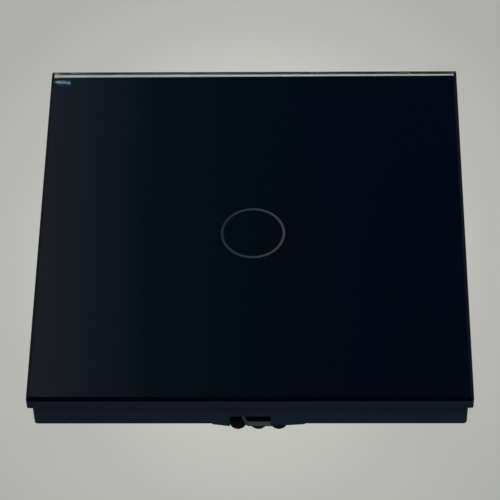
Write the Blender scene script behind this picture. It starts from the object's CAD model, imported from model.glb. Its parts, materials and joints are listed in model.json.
"""Touch light switch: materials, fine detail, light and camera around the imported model."""

import json
import math
from functools import partial

import bmesh
import bpy
from mathutils import Matrix, Quaternion, Vector


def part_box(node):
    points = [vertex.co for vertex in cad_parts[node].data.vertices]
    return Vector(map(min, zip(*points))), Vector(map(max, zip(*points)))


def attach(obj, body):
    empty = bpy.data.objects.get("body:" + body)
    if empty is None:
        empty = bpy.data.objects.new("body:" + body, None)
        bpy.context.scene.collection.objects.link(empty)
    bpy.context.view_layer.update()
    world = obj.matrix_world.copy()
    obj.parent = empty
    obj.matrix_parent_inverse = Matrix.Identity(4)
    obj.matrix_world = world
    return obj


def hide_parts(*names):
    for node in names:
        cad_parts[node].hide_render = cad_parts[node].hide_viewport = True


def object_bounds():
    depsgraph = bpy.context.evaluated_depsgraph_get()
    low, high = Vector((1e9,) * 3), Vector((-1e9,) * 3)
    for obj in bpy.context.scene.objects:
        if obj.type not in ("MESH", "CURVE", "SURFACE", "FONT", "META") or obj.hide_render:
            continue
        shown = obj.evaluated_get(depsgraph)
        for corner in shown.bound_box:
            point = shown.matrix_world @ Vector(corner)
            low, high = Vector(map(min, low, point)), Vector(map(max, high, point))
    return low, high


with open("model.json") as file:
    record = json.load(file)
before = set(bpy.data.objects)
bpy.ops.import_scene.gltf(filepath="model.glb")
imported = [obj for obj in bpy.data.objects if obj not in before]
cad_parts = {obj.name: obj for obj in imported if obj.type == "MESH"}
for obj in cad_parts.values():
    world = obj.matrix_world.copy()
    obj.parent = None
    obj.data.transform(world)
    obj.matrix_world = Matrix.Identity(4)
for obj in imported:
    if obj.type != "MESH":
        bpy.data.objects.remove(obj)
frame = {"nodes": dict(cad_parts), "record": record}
cad_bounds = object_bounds()

MM = 0.001
NODES = frame["nodes"]
SCENE = bpy.context.scene
GLASS_LOW, GLASS_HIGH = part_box("glass_panel")
BOARD_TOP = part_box("touch_board")[1].z
WHITE = (1.0, 1.0, 1.0)
BLACK = (0.0, 0.0, 0.0)

# Depth of the glass's far edge, which is clear
FAR_EDGE = 0.8 * MM

# Low and high corners of the open notch in the frame's lower side, in millimetres
NOTCH = ((-3.65, -39.3, 0.6), (3.68, -37.0, 3.73))


# Material building

# Numbers of the Mix node's sockets for the first value, the second and the result, by the kind of value
MIX_SOCKETS = {"RGBA": (6, 7, 2), "FLOAT": (2, 3, 0)}
NOISE_ROUGHNESS = 0.55


class Graph:
    """A node tree and the few procedural nodes that the looks below are made of."""

    def __init__(self, tree, coordinate):
        self.tree = tree
        self.place = self.node("ShaderNodeTexCoord").outputs[coordinate]

    def plug(self, socket, value):
        """Links the socket to another one, or sets its value."""
        if isinstance(value, bpy.types.NodeSocket):
            self.tree.links.new(value, socket)
        elif hasattr(value, "__len__") and socket.type == "RGBA" and len(value) == 3:
            socket.default_value = (*value, 1.0)
        else:
            socket.default_value = value

    def node(self, kind, inputs=None, **settings):
        node = self.tree.nodes.new(kind)
        for name, value in settings.items():
            setattr(node, name, value)
        for key, value in (inputs or {}).items():
            self.plug(node.inputs[key], value)
        return node

    def scaled(self, size, stretch=(1, 1, 1)):
        """The place in units of size, drawn out along the axes by stretch."""
        scale = [1 / (size * s) for s in stretch]
        return self.node("ShaderNodeMapping", {"Vector": self.place, "Scale": scale}).outputs[0]

    def noise(self, size, detail=3.0, stretch=(1, 1, 1)):
        place = self.scaled(size, stretch)
        inputs = {"Vector": place, "Scale": 1.0, "Detail": detail, "Roughness": NOISE_ROUGHNESS}
        return self.node("ShaderNodeTexNoise", inputs).outputs[0]

    def cells(self, size):
        inputs = {"Vector": self.scaled(size), "Scale": 1.0}
        return self.node("ShaderNodeTexVoronoi", inputs).outputs["Distance"]

    def axis(self, letter):
        return self.node("ShaderNodeSeparateXYZ", {0: self.place}).outputs[letter]

    def math(self, operation, a, b=0.0):
        return self.node("ShaderNodeMath", {0: a, 1: b}, operation=operation).outputs[0]

    def inside(self, low, high):
        """1 between the low and high corners of a box in millimetres, 0 outside it."""
        share = 1.0
        for letter, start, end in zip("XYZ", low, high):
            along = self.axis(letter)
            above = self.math("GREATER_THAN", along, start * MM)
            below = self.math("LESS_THAN", along, end * MM)
            share = self.math("MULTIPLY", share, self.math("MULTIPLY", above, below))
        return share

    def spread(self, value, low, high, start=0.3, end=0.7):
        """A number that runs from low to high while value runs from start to end, a noise's usual range."""
        inputs = {"Value": value, "From Min": start, "From Max": end, "To Min": low, "To Max": high}
        return self.node("ShaderNodeMapRange", inputs).outputs[0]

    def mix(self, kind, share, first, second):
        node = self.node("ShaderNodeMix", data_type=kind)
        first_socket, second_socket, result = MIX_SOCKETS[kind]
        for socket, value in ((0, share), (first_socket, first), (second_socket, second)):
            self.plug(node.inputs[socket], value)
        return node.outputs[result]

    def blend(self, share, first, second):
        """The first colour where share is 0, the second where it is 1."""
        return self.mix("RGBA", share, first, second)

    def between(self, share, first, second):
        """The first number where share is 0, the second where it is 1."""
        return self.mix("FLOAT", share, first, second)

    def ramp(self, share, stops):
        """A colour that passes through the (place, colour) stops."""
        node = self.node("ShaderNodeValToRGB", {"Fac": share})
        fill_ramp(node.color_ramp, stops)
        return node.outputs["Color"]

    def bump(self, height, depth):
        inputs = {"Height": height, "Distance": depth, "Strength": 1.0}
        return self.node("ShaderNodeBump", inputs).outputs[0]


class Look(Graph):
    """A Principled material whose textures lie in the object's own frame."""

    def __init__(self, name, **numbers):
        self.material = bpy.data.materials.new(name)
        self.material.use_nodes = True
        super().__init__(self.material.node_tree, "Object")
        self.shader = self.tree.nodes["Principled BSDF"]
        self.output = self.tree.nodes["Material Output"]
        self.set(**numbers)

    def set(self, **inputs):
        """Sets the shader's inputs: base_color stands for Base Color."""
        for name, value in inputs.items():
            title = name.replace("_", " ").title().replace("Ior", "IOR")
            self.plug(self.shader.inputs[title], value)


def fill_ramp(ramp, stops):
    while len(ramp.elements) < len(stops):
        ramp.elements.new(0.5)
    for element, (place, colour) in zip(ramp.elements, stops):
        element.position = place
        element.color = (*colour, 1.0)


def shade(colour, factor):
    return tuple(min(1.0, c * factor) for c in colour)


# Finishes

# Sizes of the soft patches in a moulding's colour and in its shine, and how far its roughness swings
CLOUD = 7 * MM
SHINE_PATCH = 1.6 * MM
SHINE_SWING = 0.06
# Spacing of a moulding's pits, in grains, and their share of its relief
PIT_SPACING = 3
PIT_DEPTH = 0.6


def plastic(name, colour, rough=0.5, grain=0.12, depth=0.012, mottle=0.12, specular=0.5):
    """A moulded plastic with a spark-eroded grain, in millimetres, and slight cloudy differences."""
    look = Look(name, specular_ior_level=specular)
    cloud = look.spread(look.noise(CLOUD), 0.0, 1.0)
    fine = look.noise(grain * MM, detail=2.0)
    pits = look.cells(PIT_SPACING * grain * MM)
    height = look.math("ADD", fine, look.math("MULTIPLY", pits, PIT_DEPTH))
    look.set(
        base_color=look.blend(cloud, shade(colour, 1 - mottle), shade(colour, 1 + mottle)),
        roughness=look.spread(look.noise(SHINE_PATCH), rough - SHINE_SWING, rough + SHINE_SWING),
        normal=look.bump(height, depth * MM),
    )
    return look.material


def frame_plastic(name):
    """The frame's fine matt moulding, paler where the thin strip in the notch has been bent."""
    look = Look(name, specular_ior_level=0.06)
    cloud = look.spread(look.noise(CLOUD), 0.0, 1.0)
    fine = look.noise(0.10 * MM, detail=2.0)
    moulding = look.blend(cloud, (0.0056, 0.0167, 0.0298), (0.0068, 0.0202, 0.0364))
    worn = look.spread(look.noise(0.5 * MM), 0.0, 1.0)
    pale = look.blend(worn, (0.056, 0.064, 0.068), (0.070, 0.078, 0.082))
    strip = look.inside(*NOTCH)
    look.set(
        base_color=look.blend(strip, moulding, pale),
        roughness=look.spread(look.noise(SHINE_PATCH), 0.46, 0.58),
        normal=look.bump(fine, 0.006 * MM),
    )
    return look.material


def metal(name, colour, rough=0.3, along=(1, 12, 1), lines=0.06, depth=0.004, stain=0.15):
    """A worked metal with fine drawn lines, in millimetres, and slight tarnish."""
    look = Look(name, metallic=1.0)
    tarnish = look.spread(look.noise(2.5 * MM, detail=4.0), 0.0, 1.0, 0.35, 0.75)
    drawn = look.noise(lines * MM, detail=2.0, stretch=along)
    look.set(
        base_color=look.blend(tarnish, colour, shade(colour, 1 - stain)),
        roughness=look.spread(drawn, rough - 0.08, rough + 0.12),
        normal=look.bump(drawn, depth * MM),
    )
    return look.material


# Colours of the glass's far edge, its other bevels and its other walls
FAR_COLOUR = (0.52, 0.54, 0.52)
BEVEL_COLOUR = (0.0004, 0.0012, 0.0040)
WALL_COLOUR = (0.0046, 0.0145, 0.0280)
# Share of the light that passes those other walls
WALL_CLEARNESS = 0.1
# Colour of the shine on the edges
EDGE_TINT = (0.0, 0.03, 0.10)
# The green of the glass's iron, and how fast it takes up light, per metre
IRON_GREEN = (0.3, 0.8, 0.62)
IRON_DENSITY = 30.0


def clear_glass(name):
    """Float glass with a polished face, dark ground edges, a clear far edge and the green of its iron."""
    look = Look(name, ior=1.52)
    normal = look.node("ShaderNodeNewGeometry").outputs["True Normal"]
    # 1 on the face, about 0.7 on the bevels and 0 on the walls
    upward = look.math("ABSOLUTE", look.node("ShaderNodeSeparateXYZ", {0: normal}).outputs["Z"])
    ground = look.spread(upward, 1.0, 0.0, 0.1, 0.3)
    front = look.math("GREATER_THAN", look.axis("Z"), (GLASS_LOW.z + GLASS_HIGH.z) / 2)
    bevel = look.math("MULTIPLY", look.spread(upward, 1.0, 0.0, 0.85, 0.95), front)
    edge = look.math("MAXIMUM", ground, bevel)
    nearer = look.math("LESS_THAN", look.axis("Y"), GLASS_HIGH.y - FAR_EDGE)
    dark_edge = look.math("MULTIPLY", edge, nearer)
    dark_wall = look.math("MULTIPLY", ground, nearer)
    streaks = look.noise(0.25 * MM, stretch=(1, 1, 0.3))
    smear = look.spread(look.noise(18 * MM, detail=5.0), 0.008, 0.03)
    clear_colour = look.blend(nearer, FAR_COLOUR, WHITE)
    bevel_colour = look.blend(dark_edge, clear_colour, BEVEL_COLOUR)
    clearness = look.math("SUBTRACT", 1.0, dark_edge)
    look.set(
        base_color=look.blend(dark_wall, bevel_colour, WALL_COLOUR),
        transmission_weight=look.between(dark_wall, clearness, WALL_CLEARNESS),
        roughness=look.between(ground, smear, look.spread(streaks, 0.30, 0.44)),
        specular_ior_level=look.spread(edge, 0.5, 0.05, 0.0, 1.0),
        specular_tint=look.blend(edge, WHITE, EDGE_TINT),
    )
    tint = look.node("ShaderNodeVolumeAbsorption", {"Color": IRON_GREEN, "Density": IRON_DENSITY})
    look.plug(look.output.inputs["Volume"], tint.outputs[0])
    return look.material


def black_print(name):
    """Black screen print behind the glass, with the faint weave of its screen."""
    look = Look(name, specular_ior_level=0.0)
    weave = look.cells(0.3 * MM)
    cloud = look.spread(look.noise(12 * MM), 0.0, 1.0)
    look.set(
        base_color=look.blend(cloud, (0.0007, 0.0022, 0.0044), (0.0010, 0.0030, 0.0058)),
        roughness=look.spread(weave, 0.5, 0.7, 0.1, 0.8),
    )
    return look.material


def grey_mark(name):
    """Translucent grey ink with the faint glow of the lamps behind it, a little stronger to the right."""
    look = Look(name, specular_ior_level=0.0, emission_strength=1.0)
    dots = look.noise(0.18 * MM, detail=2.0)
    low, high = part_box("touch_mark")
    right = look.spread(look.axis("X"), 0.0, 1.0, low.x, high.x)
    look.set(
        base_color=look.blend(look.spread(dots, 0.0, 1.0), (0.09, 0.10, 0.11), (0.12, 0.135, 0.14)),
        emission_color=look.blend(right, (0.0150, 0.0187, 0.0219), (0.0393, 0.0465, 0.0439)),
        roughness=look.spread(dots, 0.5, 0.65),
    )
    return look.material


def foam_tape(name):
    look = Look(name, specular_ior_level=0.25)
    cells = look.cells(0.22 * MM)
    walls = look.spread(cells, 0.0, 1.0, 0.1, 0.6)
    look.set(
        base_color=look.blend(walls, (0.006, 0.006, 0.007), (0.022, 0.022, 0.024)),
        roughness=look.spread(cells, 0.75, 0.92),
        normal=look.bump(cells, 0.05 * MM),
    )
    return look.material


def circuit_board(name):
    """Green solder resist over raised copper runs."""
    look = Look(name, specular_ior_level=0.5)
    runs = look.node(
        "ShaderNodeTexBrick",
        {"Vector": look.scaled(1 * MM), "Scale": 1.0, "Mortar Size": 0.11, "Mortar Smooth": 0.2,
         "Brick Width": 3.4, "Row Height": 0.85, "Color1": BLACK, "Color2": BLACK, "Mortar": WHITE},
        offset=0.37, squash=0.6, squash_frequency=3,
    ).outputs[0]
    some = look.spread(look.noise(5 * MM, detail=1.0), 0.0, 1.0, 0.44, 0.5)
    copper = look.math("MULTIPLY", runs, some)
    cloud = look.spread(look.noise(4 * MM), 0.0, 1.0)
    resist = look.blend(cloud, (0.006, 0.075, 0.028), (0.010, 0.105, 0.040))
    look.set(
        base_color=look.blend(copper, resist, (0.045, 0.21, 0.075)),
        roughness=look.spread(look.noise(0.6 * MM), 0.24, 0.36),
        normal=look.bump(copper, 0.035 * MM),
    )
    return look.material


def diffuser(name):
    """Milky clear moulding that spreads the lamps' light round the ring."""
    look = Look(name, transmission_weight=0.35, ior=1.49, subsurface_weight=0.4)
    look.shader.inputs["Subsurface Radius"].default_value = (0.8 * MM, 0.8 * MM, 0.9 * MM)
    haze = look.noise(0.5 * MM)
    look.set(
        base_color=look.blend(look.spread(haze, 0.0, 1.0), (0.74, 0.77, 0.80), (0.84, 0.86, 0.88)),
        roughness=look.spread(haze, 0.25, 0.4),
        normal=look.bump(haze, 0.01 * MM),
    )
    return look.material


def lamp_case(name):
    look = Look(name, subsurface_weight=0.2, ior=1.5)
    look.shader.inputs["Subsurface Radius"].default_value = (0.3 * MM, 0.25 * MM, 0.1 * MM)
    grains = look.cells(0.12 * MM)
    share = look.spread(grains, 0.0, 1.0, 0.1, 0.7)
    look.set(
        base_color=look.blend(share, (0.80, 0.66, 0.18), (0.88, 0.82, 0.55)),
        roughness=look.spread(grains, 0.3, 0.45),
    )
    return look.material


def copper_wire(name):
    """Enamelled copper wire, wound turn by turn along Z."""
    look = Look(name, metallic=1.0)
    turns = look.node(
        "ShaderNodeTexWave",
        {"Vector": look.scaled(1 * MM), "Scale": 1.6, "Distortion": 0.3, "Detail": 1.0},
        wave_type="BANDS", bands_direction="Z", wave_profile="SIN",
    ).outputs["Fac"]
    look.set(
        base_color=look.blend(turns, (0.16, 0.035, 0.012), (0.62, 0.22, 0.075)),
        roughness=look.spread(turns, 0.42, 0.24, 0.0, 1.0),
        normal=look.bump(turns, 0.06 * MM),
    )
    return look.material


def speckled(name, dark, light, grain, rough):
    """A fired or filled material with visible grains, in millimetres."""
    look = Look(name, specular_ior_level=0.5)
    grains = look.cells(grain * MM)
    cloud = look.noise(3 * MM)
    share = look.spread(look.math("ADD", grains, cloud), 0.0, 1.0, 0.5, 1.3)
    look.set(
        base_color=look.blend(share, dark, light),
        roughness=look.spread(cloud, rough - 0.07, rough + 0.07),
        normal=look.bump(grains, 0.01 * MM),
    )
    return look.material


FINISHES = {
    "clear_glass": clear_glass,
    "black_print": black_print,
    "grey_mark": grey_mark,
    "foam_tape": foam_tape,
    "frame_plastic": frame_plastic,
    "base_plastic": partial(
        plastic, colour=(0.0046, 0.0050, 0.0060), rough=0.58, grain=0.14, depth=0.010, specular=0.04),
    "spring_steel": partial(metal, colour=(0.60, 0.60, 0.61), rough=0.28, along=(12, 1, 1)),
    "circuit_board": circuit_board,
    "plated_spring": partial(metal, colour=(0.74, 0.65, 0.44), rough=0.26, along=(1, 1, 6), lines=0.08),
    "diffuser": diffuser,
    "lamp_case": lamp_case,
    "chip_case": partial(
        plastic, colour=(0.016, 0.016, 0.017), rough=0.48, grain=0.06, depth=0.006, mottle=0.15),
    "chip_ceramic": partial(
        speckled, dark=(0.30, 0.22, 0.15), light=(0.52, 0.42, 0.31), grain=0.09, rough=0.55),
    "gold_pins": partial(metal, colour=(0.88, 0.68, 0.30), rough=0.22, along=(1, 1, 10), lines=0.05),
    "socket_plastic": partial(plastic, colour=(0.018, 0.018, 0.019), grain=0.09, depth=0.008),
    "housing_plastic": partial(
        plastic, colour=(0.028, 0.029, 0.032), rough=0.56, grain=0.16, depth=0.014, mottle=0.10,
        specular=0.4),
    "zinc_steel": partial(
        metal, colour=(0.66, 0.66, 0.69), rough=0.32, along=(4, 1, 1), lines=0.07, stain=0.25),
    "relay_plastic": partial(plastic, colour=(0.022, 0.055, 0.17), rough=0.3, grain=0.2, depth=0.006),
    "bobbin_plastic": partial(
        plastic, colour=(0.62, 0.61, 0.55), rough=0.45, grain=0.2, depth=0.006, mottle=0.06),
    "copper_wire": copper_wire,
    "soft_iron": partial(
        metal, colour=(0.48, 0.48, 0.49), rough=0.36, along=(1, 9, 1), lines=0.08, depth=0.005, stain=0.2),
    "brass_parts": partial(
        metal, colour=(0.76, 0.54, 0.22), along=(9, 1, 1), lines=0.07, depth=0.005, stain=0.22),
    "block_plastic": partial(plastic, colour=(0.42, 0.44, 0.45), grain=0.18, depth=0.010, mottle=0.06),
    "film_case": partial(
        plastic, colour=(0.55, 0.40, 0.05), rough=0.38, grain=0.25, depth=0.006, mottle=0.08),
    "capacitor_sleeve": partial(plastic, colour=(0.018, 0.022, 0.09), rough=0.25, grain=0.6),
    "varistor_coat": partial(plastic, colour=(0.035, 0.10, 0.33), rough=0.28, grain=0.8, depth=0.03),
    "ferrite": partial(
        speckled, dark=(0.025, 0.025, 0.028), light=(0.070, 0.070, 0.074), grain=0.15, rough=0.5),
    "fuse_case": partial(plastic, colour=(0.15, 0.032, 0.025), rough=0.4, grain=0.2, depth=0.008),
}

looks = {slot: make(slot) for slot, make in FINISHES.items()}
for subpart in frame["record"]["subparts"]:
    NODES[subpart["node"]].material_slots[0].material = looks[subpart["material_slot"]]


# Edges

# Width of the round on the edges of each moulding
EDGE_ROUNDS = {"panel_frame": 0.09 * MM, "mounting_base": 0.08 * MM, "rear_housing": 0.15 * MM}
# Nearer points are one, flatter faces are joined and sharper edges are rounded
SAME_POINT = 1e-6
FLAT_ANGLE = math.radians(1)
SHARP_ANGLE = math.radians(40)


def soften(name, width):
    """Breaks a moulding's sharp edges by a small round."""
    node = NODES[name]
    weld = node.modifiers.new("weld", "WELD")
    weld.merge_threshold = SAME_POINT
    flat = node.modifiers.new("flat", "DECIMATE")
    flat.decimate_type = "DISSOLVE"
    flat.angle_limit = FLAT_ANGLE
    edge = node.modifiers.new("edge", "BEVEL")
    edge.width = width
    edge.segments = 2
    edge.limit_method = "ANGLE"
    edge.angle_limit = SHARP_ANGLE
    normals = node.modifiers.new("normals", "WEIGHTED_NORMAL")
    normals.keep_sharp = True


# The print's far border

# How far the print falls short at its far corners, and the depth of the border that is drawn in for it
PRINT_SHORT_LEFT, PRINT_SHORT_RIGHT = 0.28 * MM, 0.03 * MM
PRINT_BORDER = 1.0 * MM


def print_sheet():
    """The black print, a little askew on the glass: its far border falls short, more so at the left."""
    low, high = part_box("back_print")
    mesh = bmesh.new()
    mesh.from_mesh(NODES["back_print"].data)
    for vert in mesh.verts:
        across = (vert.co.x - low.x) / (high.x - low.x)
        short = PRINT_SHORT_LEFT + (PRINT_SHORT_RIGHT - PRINT_SHORT_LEFT) * across
        share = max(0.0, 1.0 - (high.y - vert.co.y) / PRINT_BORDER)
        vert.co.y -= short * share
    return mesh


def dress_print():
    sheet = add_piece("print_sheet", print_sheet(), looks["black_print"], "front_panel")
    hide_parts("back_print")


# Small parts on the touch board

def solids(name):
    """The low and high corners of each separate solid of a node."""
    mesh = bmesh.new()
    mesh.from_mesh(NODES[name].data)
    bmesh.ops.remove_doubles(mesh, verts=mesh.verts, dist=1e-7)
    left = set(mesh.verts)
    boxes = []
    while left:
        queue = [left.pop()]
        group = []
        while queue:
            vert = queue.pop()
            group.append(vert.co.copy())
            near = {edge.other_vert(vert) for edge in vert.link_edges} & left
            left -= near
            queue.extend(near)
        low = Vector([min(p[i] for p in group) for i in range(3)])
        high = Vector([max(p[i] for p in group) for i in range(3)])
        boxes.append((low, high))
    mesh.free()
    return sorted(boxes, key=lambda box: tuple(box[0]))


def add_prism(mesh, points, width, place, turn=0.0):
    """Draws an outline of (outward, up) points out sideways, then turns it about Z and puts it in place."""
    at = Matrix.Translation(place) @ Matrix.Rotation(turn, 4, "Z")
    sides = []
    for across in (-width / 2, width / 2):
        sides.append([mesh.verts.new(at @ Vector((u, across, z))) for u, z in points])
    mesh.faces.new(sides[0])
    mesh.faces.new(sides[1][::-1])
    for i in range(len(points)):
        j = (i + 1) % len(points)
        mesh.faces.new((sides[0][j], sides[0][i], sides[1][i], sides[1][j]))


def add_lathe(mesh, points, place, count=24):
    """Turns a closed outline of (radius, up) points about Z."""
    rings = []
    for step in range(count):
        turn = Matrix.Rotation(math.tau * step / count, 4, "Z")
        rings.append([mesh.verts.new(Vector(place) + turn @ Vector((r, 0, z))) for r, z in points])
    for step in range(count):
        here, there = rings[step], rings[(step + 1) % count]
        for i in range(len(points)):
            j = (i + 1) % len(points)
            mesh.faces.new((here[i], there[i], there[j], here[j]))


def add_piece(name, mesh, look, body):
    bmesh.ops.remove_doubles(mesh, verts=mesh.verts, dist=1e-8)
    bmesh.ops.recalc_face_normals(mesh, faces=mesh.faces)
    data = bpy.data.meshes.new(name)
    mesh.to_mesh(data)
    mesh.free()
    data.materials.append(look)
    piece = bpy.data.objects.new(name, data)
    SCENE.collection.objects.link(piece)
    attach(piece, body)
    return piece


def in_metres(points):
    return [(across * MM, up * MM) for across, up in points]


def on_board(low, high):
    """The middle of a box, on the touch board's face."""
    return Vector(((low.x + high.x) / 2, (low.y + high.y) / 2, BOARD_TOP))


def chip_leads():
    """Bent leads along two sides of the touch chip, each on its pad."""
    low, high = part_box("touch_chip")
    middle = (low + high) / 2
    outline = [(-0.1, 0.52), (0.22, 0.52), (0.32, 0.46), (0.42, 0.15), (0.50, 0.11), (0.80, 0.11),
               (0.80, 0.0), (0.42, 0.0), (0.33, 0.06), (0.22, 0.38), (0.16, 0.41), (-0.1, 0.41)]
    pad = [(0.22, 0.0), (0.24, 0.03), (0.96, 0.03), (0.98, 0.0)]
    pitch, lead_width, pad_width = 0.65 * MM, 0.28 * MM, 0.36 * MM
    mesh = bmesh.new()
    for side in (-1, 1):
        for step in range(-2, 3):
            place = Vector((middle.x + pitch * step, high.y if side > 0 else low.y, low.z))
            for points, width in ((outline, lead_width), (pad, pad_width)):
                add_prism(mesh, in_metres(points), width, place, side * math.pi / 2)
    return mesh


def end_caps(name, cap, rise, toe):
    """Soldered end caps on the small parts of a node: their length, height and the solder's toe."""
    skin = 0.02 * MM
    mesh = bmesh.new()
    for low, high in solids(name):
        size = high - low
        long_x = size.x > size.y
        middle = (low + high) / 2
        half = max(size.x, size.y) / 2
        top = rise * size.z + skin
        outline = [(half - cap, 0.0), (half - cap, top), (half + 0.5 * skin, top),
                   (half + 2.5 * skin, 0.62 * top), (half + 0.5 * toe, 0.2 * top), (half + toe, 0.0)]
        width = min(size.x, size.y) + 2 * skin
        for turn in (0.0, math.pi):
            angle = turn if long_x else turn + math.pi / 2
            add_prism(mesh, outline, width, Vector((middle.x, middle.y, low.z)), angle)
    return mesh


def pin_fillets():
    """Solder drawn up round each pin of the board connector."""
    outline = [(0.0, 0.0), (0.86, 0.0), (0.66, 0.07), (0.53, 0.19), (0.46, 0.36), (0.42, 0.44), (0.0, 0.44)]
    mesh = bmesh.new()
    for low, high in solids("header_pins"):
        add_lathe(mesh, in_metres(outline), on_board(low, high))
    return mesh


def spring_pad():
    """The gold ring on the board that the touch spring stands on."""
    low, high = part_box("touch_spring")
    radius = (high.x - low.x) / 2
    inner, outer = radius - 1.1 * MM, radius + 0.5 * MM
    thick = 0.02 * MM
    outline = [(inner, 0.0), (inner + thick, thick), (outer - thick, thick), (outer, 0.0)]
    mesh = bmesh.new()
    add_lathe(mesh, outline, on_board(low, high), count=48)
    return mesh


def board_lines():
    """White printed outlines round the chip, the small parts and the connector."""
    line, rise = 0.14 * MM, 0.015 * MM
    mesh = bmesh.new()

    def bar(x0, y0, x1, y1):
        place = Vector(((x0 + x1) / 2, (y0 + y1) / 2, BOARD_TOP))
        half = (x1 - x0) / 2
        add_prism(mesh, [(-half, 0.0), (-half, rise), (half, rise), (half, 0.0)], y1 - y0, place)

    def outline(low, high, gap_x, gap_y):
        x0, y0, x1, y1 = low.x - gap_x, low.y - gap_y, high.x + gap_x, high.y + gap_y
        bar(x0, y0, x1, y0 + line)
        bar(x0, y1 - line, x1, y1)
        bar(x0, y0 + line, x0 + line, y1 - line)
        bar(x1 - line, y0 + line, x1, y1 - line)

    outline(*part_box("touch_chip"), 0.45 * MM, 1.2 * MM)
    outline(*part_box("board_chips"), 0.6 * MM, 0.5 * MM)
    outline(*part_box("header_pins"), 0.95 * MM, 0.95 * MM)
    return mesh


def dress_board():
    solder = metal(
        "solder", colour=(0.70, 0.70, 0.71), rough=0.27, along=(1, 1, 1), lines=0.3, depth=0.01, stain=0.2)
    ink = plastic("board_ink", colour=(0.62, 0.63, 0.62), rough=0.55, grain=0.08, depth=0.004, mottle=0.08)
    chip_caps = end_caps("board_chips", cap=0.34 * MM, rise=1.0, toe=0.34 * MM)
    lamp_caps = end_caps("indicator_leds", cap=0.22 * MM, rise=0.45, toe=0.22 * MM)
    add_piece("chip_leads", chip_leads(), solder, "base")
    add_piece("chip_caps", chip_caps, solder, "base")
    add_piece("lamp_caps", lamp_caps, solder, "base")
    add_piece("pin_solder", pin_fillets(), solder, "base")
    add_piece("spring_pad", spring_pad(), looks["gold_pins"], "base")
    add_piece("board_lines", board_lines(), ink, "base")


# Stage

# The floor lies just below the object and reaches this far from it, in metres
FLOOR_GAP = 0.05 * MM
FLOOR_Z = cad_bounds[0][2] - FLOOR_GAP
FLOOR_REACH = 2.5
# The floor's colour by distance from its middle, in millimetres, with the distance along Y squeezed
FLOOR_MIDDLE_X, FLOOR_MIDDLE_Y = -1.0, 18.6
FLOOR_SQUEEZE = 0.778
FLOOR_COLOURS = [
    (28.0, (0.615, 0.615, 0.580)), (37.3, (0.558, 0.558, 0.527)),
    (48.4, (0.489, 0.486, 0.463)), (69.6, (0.418, 0.423, 0.397)),
]
# Share of the floor's colour that the lamps give, which keeps the shadow
FLOOR_MATT = 0.06


def make_floor():
    """A pale floor that shows its own colour and keeps a faint shadow."""
    mesh = bpy.data.meshes.new("floor")
    signs = ((-1, -1), (1, -1), (1, 1), (-1, 1))
    corners = [(x * FLOOR_REACH, y * FLOOR_REACH, FLOOR_Z) for x, y in signs]
    mesh.from_pydata(corners, [], [(0, 1, 2, 3)])
    floor = bpy.data.objects.new("floor", mesh)
    SCENE.collection.objects.link(floor)
    look = Look("floor_paper")
    across = look.math("SUBTRACT", look.axis("X"), FLOOR_MIDDLE_X * MM)
    along = look.math("SUBTRACT", look.axis("Y"), FLOOR_MIDDLE_Y * MM)
    along = look.math("MULTIPLY", along, FLOOR_SQUEEZE)
    squares = look.math("ADD", look.math("POWER", across, 2.0), look.math("POWER", along, 2.0))
    near, far = FLOOR_COLOURS[0][0], FLOOR_COLOURS[-1][0]
    share = look.spread(look.math("SQRT", squares), 0.0, 1.0, near * MM, far * MM)
    stops = [((away - near) / (far - near), colour) for away, colour in FLOOR_COLOURS]
    colour = look.ramp(share, stops)
    path = look.node("ShaderNodeLightPath").outputs
    mirrored = look.math("MAXIMUM", path["Is Glossy Ray"], path["Is Transmission Ray"])
    seen = look.math("MAXIMUM", path["Is Camera Ray"], mirrored)
    strength = look.math("MULTIPLY", seen, 1 - FLOOR_MATT)
    glow = look.node("ShaderNodeEmission", {"Color": colour, "Strength": strength})
    dim = look.blend(FLOOR_MATT, BLACK, colour)
    matt = look.node("ShaderNodeBsdfDiffuse", {"Color": dim})
    both = look.node("ShaderNodeAddShader", {0: glow.outputs[0], 1: matt.outputs[0]})
    look.plug(look.output.inputs["Surface"], both.outputs[0])
    look.tree.nodes.remove(look.shader)
    floor.data.materials.append(look.material)


# The studio's colour from left to right, by the sideways part of the direction
STUDIO_LEFT, STUDIO_RIGHT = -0.30, 0.10
STUDIO_BAND = [
    (0.0, (0.42, 0.43, 0.47)), (0.50, (0.225, 0.270, 0.350)), (0.555, (0.110, 0.184, 0.290)),
    (0.605, (0.044, 0.109, 0.197)), (0.70, (0.022, 0.071, 0.155)), (0.85, (0.021, 0.058, 0.143)),
]
# Share of that colour on the camera's side, and where it grows to all of it, by the direction's part along Y
STUDIO_NEAR = 0.25
NEAR_START, NEAR_END = -0.3, 0.1
# The pale horizon, and where it gives way to that colour, by the direction's part along Z
HORIZON = (0.40, 0.405, 0.39)
HORIZON_LOW, HORIZON_HIGH = 0.22, 0.42


def make_world():
    """A studio that is pale at the horizon, dark half-way up and paler to the left."""
    world = bpy.data.worlds.new("studio")
    SCENE.world = world
    world.use_nodes = True
    studio = Graph(world.node_tree, "Generated")
    sideways = studio.spread(studio.axis("X"), 0.0, 1.0, STUDIO_LEFT, STUDIO_RIGHT)
    band = studio.ramp(sideways, STUDIO_BAND)
    near = studio.spread(studio.axis("Y"), STUDIO_NEAR, 1.0, NEAR_START, NEAR_END)
    dimmed = studio.node("ShaderNodeVectorMath", {0: band, "Scale": near}, operation="SCALE").outputs[0]
    low = studio.spread(studio.axis("Z"), 0.0, 1.0, HORIZON_HIGH, HORIZON_LOW)
    background = studio.tree.nodes["Background"]
    studio.plug(background.inputs["Color"], studio.blend(low, dimmed, HORIZON))


# Where the glass mirrors the two corner lamps, and their turn about their own aim
GLINT_AT = (-0.0379, 0.0368, 0.0103)
GLINT_ROLL = -0.15


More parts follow.
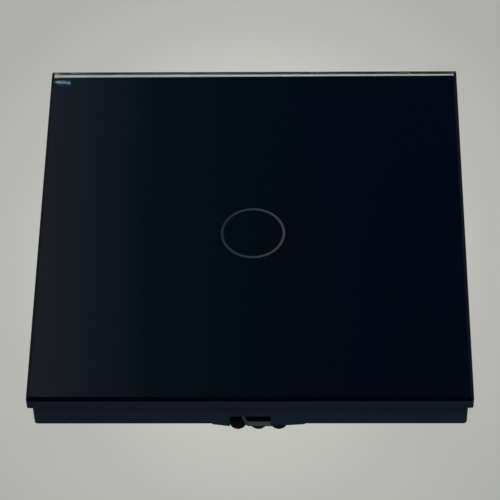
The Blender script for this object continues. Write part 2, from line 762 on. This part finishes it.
def add_lamp(name, place, target, size, power, colour=WHITE, roll=0.0):
    lamp = bpy.data.lights.new(name, "AREA")
    lamp.shape = "RECTANGLE"
    lamp.size, lamp.size_y = size
    lamp.energy = power
    lamp.color = colour
    holder = bpy.data.objects.new(name, lamp)
    holder.location = place
    aim = (Vector(target) - Vector(place)).to_track_quat("-Z", "Y")
    holder.rotation_euler = (aim @ Quaternion((0, 0, 1), roll)).to_euler()
    SCENE.collection.objects.link(holder)


def make_lamps():
    middle = (0, 0, 0)
    add_lamp("overhead", (-0.10, 0.02, 1.05), middle, size=(0.6, 0.6), power=5.0)
    add_lamp("front_key", (0.05, -0.42, 0.92), middle, size=(0.35, 0.30), power=5.0)
    add_lamp("left_fill", (-0.95, -0.10, 0.42), middle, size=(0.5, 0.4), power=1.5)
    # two far small lamps that the glass mirrors in its far left corner, the blue one below the other
    add_lamp("corner_glint", (-0.1117, 0.5765, 0.5959), GLINT_AT, size=(0.0076, 0.0009), power=0.000105,
             colour=(0.60, 0.95, 1.0), roll=GLINT_ROLL)
    add_lamp("corner_blue", (-0.1110, 0.5756, 0.5972), GLINT_AT, size=(0.0068, 0.0011), power=0.000022,
             colour=(0.0, 0.10, 1.0), roll=GLINT_ROLL)


# The camera's angles, place and lens come from a fit to the glass's outline in the photograph.
CAMERA_AZIMUTH = math.radians(1.7605)
CAMERA_ELEVATION = math.radians(51.115)
CAMERA_ROLL = math.radians(-1.4767)
CAMERA_PLACE = Vector((8.8346, -302.268, 378.007)) * MM
CAMERA_LENS = 182.394
CAMERA_SENSOR = 36.0
# Nothing nearer to the camera than this is shown, in metres
CAMERA_CLIP = 0.01


def make_camera():
    data = bpy.data.cameras.new("camera")
    data.lens = CAMERA_LENS
    data.sensor_width = CAMERA_SENSOR
    data.sensor_fit = "HORIZONTAL"
    data.clip_start = CAMERA_CLIP
    camera = bpy.data.objects.new("camera", data)
    SCENE.collection.objects.link(camera)
    flat = math.cos(CAMERA_ELEVATION)
    side, ahead = math.sin(CAMERA_AZIMUTH), math.cos(CAMERA_AZIMUTH)
    back = Vector((side * flat, -ahead * flat, math.sin(CAMERA_ELEVATION)))
    right = Vector((ahead, side, 0.0))
    up = back.cross(right)
    level = Matrix((right, up, back)).transposed().to_4x4()
    camera.matrix_world = Matrix.Translation(CAMERA_PLACE) @ level @ Matrix.Rotation(CAMERA_ROLL, 4, "Z")
    SCENE.camera = camera


for moulding, width in EDGE_ROUNDS.items():
    soften(moulding, width)
dress_print()
dress_board()
make_floor()
make_world()
make_lamps()
make_camera()
SCENE.view_settings.view_transform = "Standard"
